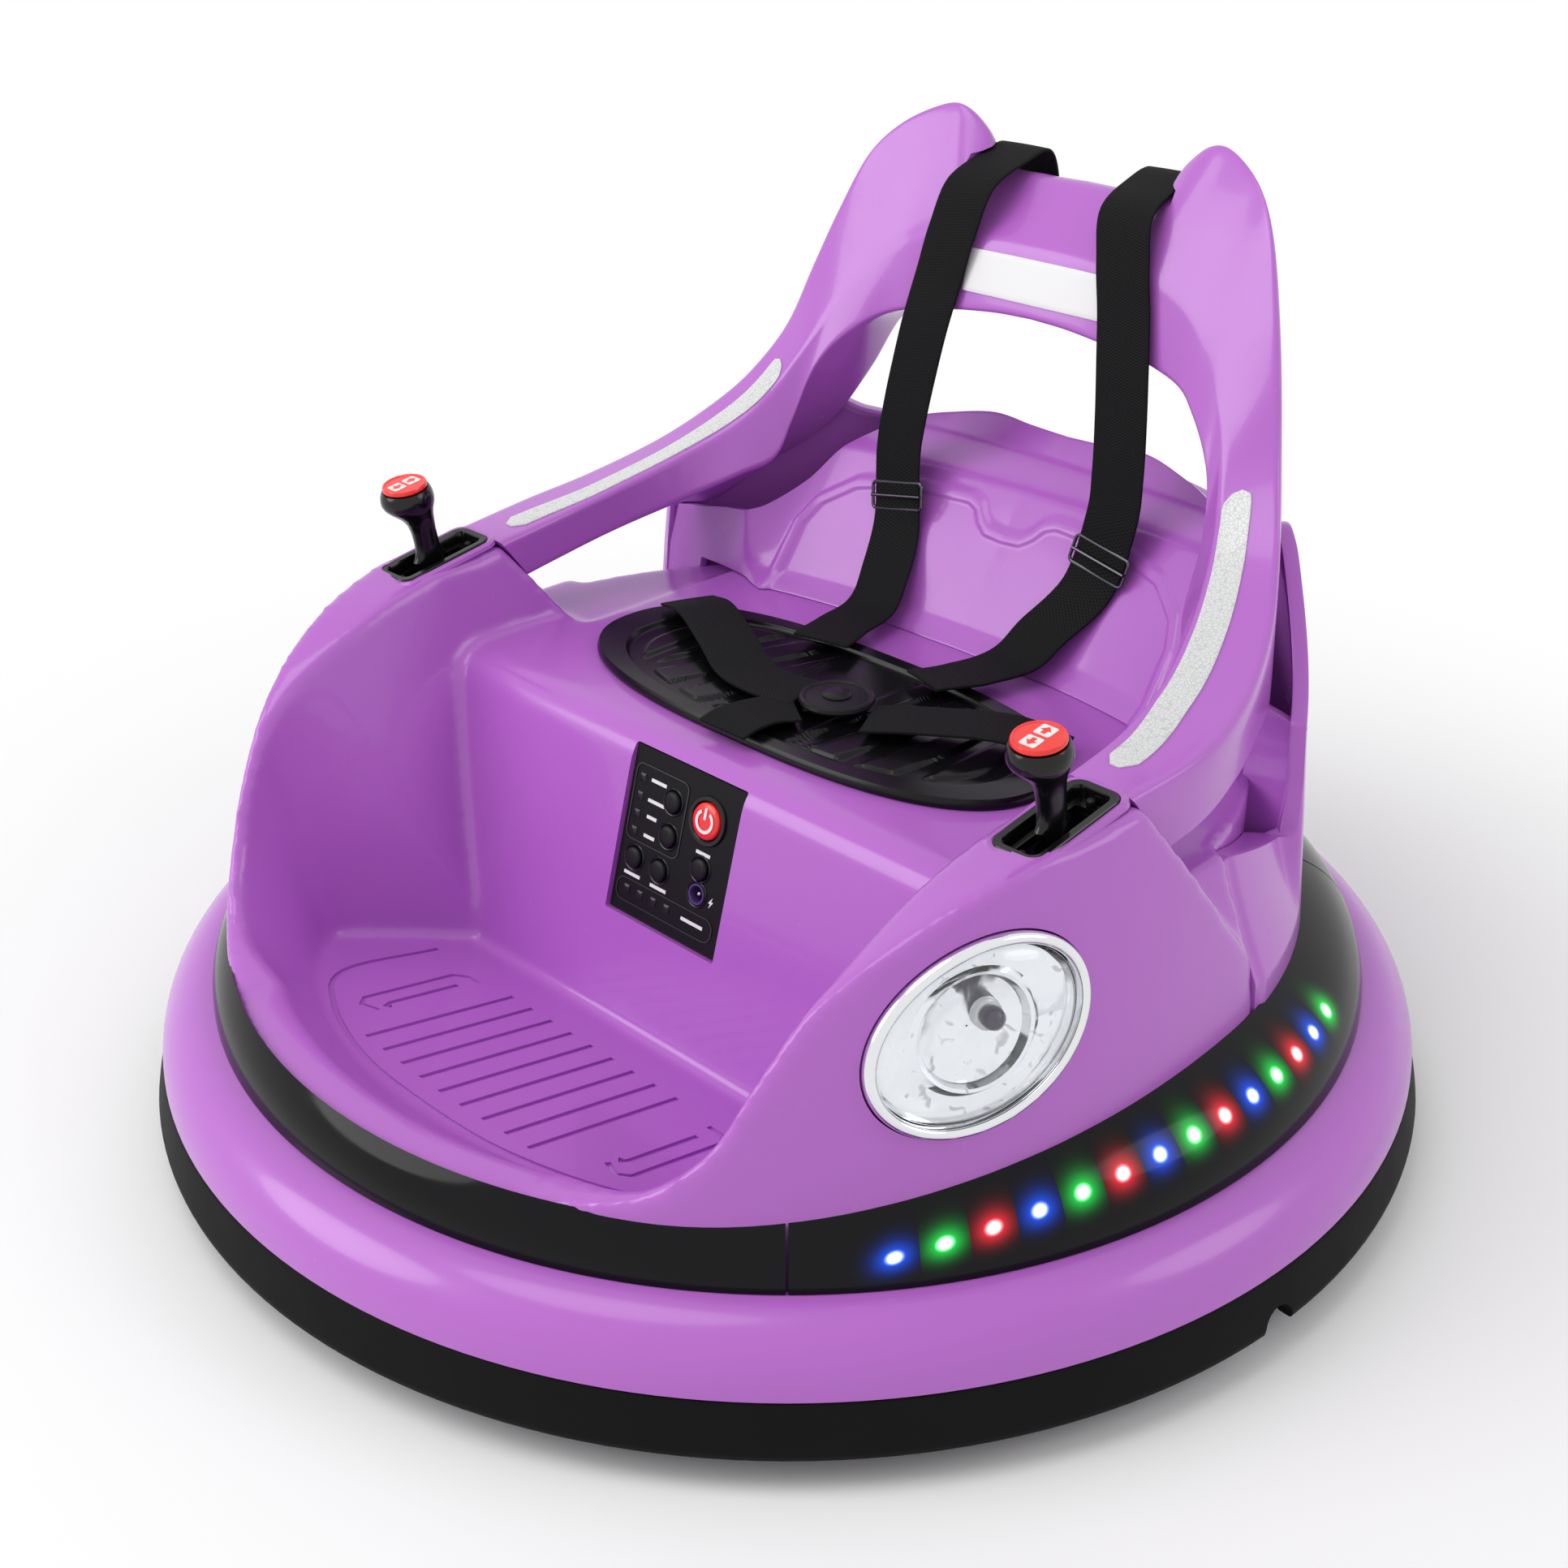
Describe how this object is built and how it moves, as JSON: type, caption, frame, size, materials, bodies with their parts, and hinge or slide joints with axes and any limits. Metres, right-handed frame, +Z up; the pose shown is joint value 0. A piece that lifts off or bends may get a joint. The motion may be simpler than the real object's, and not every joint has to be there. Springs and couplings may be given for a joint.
{
  "type": "ride-on bumper car",
  "caption": "Child's electric ride-on bumper car: round rubber bumper, lit band, moulded seat and footwell, roll hoop, harness, joysticks and gearmotor drive.",
  "frame": {"origin": "on the floor under the middle of the round bumper", "axes": "+Z up, -Y to the front of the car, +X to the right in the picture"},
  "size_m": [0.75, 0.75, 0.5237],
  "materials": {
    "purple_plastic": "glossy moulded purple plastic",
    "bumper_rubber": "matt black rubber",
    "smoked_plastic": "glossy smoked black plastic",
    "lamp_strip": "white strip with coloured lamps",
    "reflective_sheet": "silver reflective sheet",
    "white_plate": "plain white plate",
    "chrome": "bright plated plastic",
    "clear_lens": "clear lens",
    "black_gloss": "glossy black plastic",
    "red_plastic": "glossy red plastic",
    "indicator": "clear light guide",
    "circuit_board": "green circuit board",
    "socket": "grey socket",
    "seat_pad": "satin black moulded pad",
    "webbing": "black woven webbing",
    "black_plastic": "matt black plastic",
    "wheel_rubber": "black rubber tread",
    "grey_plastic": "grey gear case",
    "steel": "plain steel"
  },
  "bodies": {
    "car": {"bumper_ring": "purple_plastic", "front_body": "purple_plastic", "rear_shell": "purple_plastic", "roll_hoop": "purple_plastic", "seat_back": "purple_plastic", "rubber_bumper": "bumper_rubber", "light_band_front": "smoked_plastic", "light_band_right": "smoked_plastic", "light_band_rear": "smoked_plastic", "light_band_left": "smoked_plastic", "lamp_strip_left": "lamp_strip", "lamp_strip_right": "lamp_strip", "reflective_stripe_left": "reflective_sheet", "reflective_stripe_right": "reflective_sheet", "label_plate": "white_plate", "headlight_bezel_left": "chrome", "headlight_bezel_right": "chrome", "headlight_reflector_left": "chrome", "headlight_reflector_right": "chrome", "headlight_lens_left": "clear_lens", "headlight_lens_right": "clear_lens", "joystick_tray_left": "black_gloss", "joystick_tray_right": "black_gloss", "control_panel": "black_gloss", "centre_buckle": "black_gloss", "indicator_lamps": "indicator", "panel_board": "circuit_board", "charging_socket": "socket", "seat_pad": "seat_pad", "shoulder_strap_left": "webbing", "shoulder_strap_right": "webbing", "lap_strap_left": "webbing", "lap_strap_right": "webbing", "crotch_strap": "webbing", "chassis_pan": "black_plastic", "control_box": "black_plastic", "speaker": "black_plastic", "battery": "black_plastic", "gearbox_left": "grey_plastic", "gearbox_right": "grey_plastic", "motor_left": "steel", "motor_right": "steel"},
    "joystick_left": {"joystick_lever_left": "black_gloss", "joystick_cap_left": "red_plastic"},
    "joystick_right": {"joystick_lever_right": "black_gloss", "joystick_cap_right": "red_plastic"},
    "power_button": {"power_button": "red_plastic"},
    "joystick_button": {"joystick_button": "black_gloss"},
    "speed_button": {"speed_button": "black_gloss"},
    "melody_button": {"melody_button": "black_gloss"},
    "lamp_button": {"lamp_button": "black_gloss"},
    "pairing_button": {"pairing_button": "black_gloss"},
    "wheel_left": {"drive_wheel_left": "wheel_rubber", "axle_left": "steel"},
    "wheel_right": {"drive_wheel_right": "wheel_rubber", "axle_right": "steel"},
    "caster_front": {"caster_fork_front": "steel"},
    "caster_roller_front": {"caster_wheel_front": "wheel_rubber"},
    "caster_rear": {"caster_fork_rear": "steel"},
    "caster_roller_rear": {"caster_wheel_rear": "wheel_rubber"}
  },
  "joints": [
    {"name": "joystick_left_tilt", "type": "hinge", "parent": "car", "child": "joystick_left", "pos_m": [-0.244, -0.06536, 0.25282], "axis": [1, 0, 0], "range_deg": [-14, 14], "stiffness_Nm_per_rad": 0.35},
    {"name": "joystick_right_tilt", "type": "hinge", "parent": "car", "child": "joystick_right", "pos_m": [0.244, -0.06536, 0.25282], "axis": [1, 0, 0], "range_deg": [-14, 14], "stiffness_Nm_per_rad": 0.35},
    {"name": "power_button_press", "type": "slide", "parent": "car", "child": "power_button", "axis": [0, 0.9642, -0.2652], "range_m": [0, 0.002], "stiffness_N_per_m": 400},
    {"name": "joystick_button_press", "type": "slide", "parent": "car", "child": "joystick_button", "axis": [0, 0.9642, -0.2652], "range_m": [0, 0.002], "stiffness_N_per_m": 400},
    {"name": "speed_button_press", "type": "slide", "parent": "car", "child": "speed_button", "axis": [0, 0.9642, -0.2652], "range_m": [0, 0.002], "stiffness_N_per_m": 400},
    {"name": "melody_button_press", "type": "slide", "parent": "car", "child": "melody_button", "axis": [0, 0.9642, -0.2652], "range_m": [0, 0.002], "stiffness_N_per_m": 400},
    {"name": "lamp_button_press", "type": "slide", "parent": "car", "child": "lamp_button", "axis": [0, 0.9642, -0.2652], "range_m": [0, 0.002], "stiffness_N_per_m": 400},
    {"name": "pairing_button_press", "type": "slide", "parent": "car", "child": "pairing_button", "axis": [0, 0.9642, -0.2652], "range_m": [0, 0.002], "stiffness_N_per_m": 400},
    {"name": "wheel_left_spin", "type": "hinge", "parent": "car", "child": "wheel_left", "pos_m": [-0.19, 0.03, 0.05], "axis": [1, 0, 0], "continuous": true},
    {"name": "wheel_right_spin", "type": "hinge", "parent": "car", "child": "wheel_right", "pos_m": [0.19, 0.03, 0.05], "axis": [1, 0, 0], "continuous": true},
    {"name": "caster_front_swivel", "type": "hinge", "parent": "car", "child": "caster_front", "pos_m": [0, -0.215, 0.04], "axis": [0, 0, 1], "continuous": true},
    {"name": "caster_front_roll", "type": "hinge", "parent": "caster_front", "child": "caster_roller_front", "pos_m": [0, -0.207, 0.014], "axis": [1, 0, 0], "continuous": true},
    {"name": "caster_rear_swivel", "type": "hinge", "parent": "car", "child": "caster_rear", "pos_m": [0, 0.215, 0.04], "axis": [0, 0, 1], "continuous": true},
    {"name": "caster_rear_roll", "type": "hinge", "parent": "caster_rear", "child": "caster_roller_rear", "pos_m": [0, 0.223, 0.014], "axis": [1, 0, 0], "continuous": true}
  ]
}
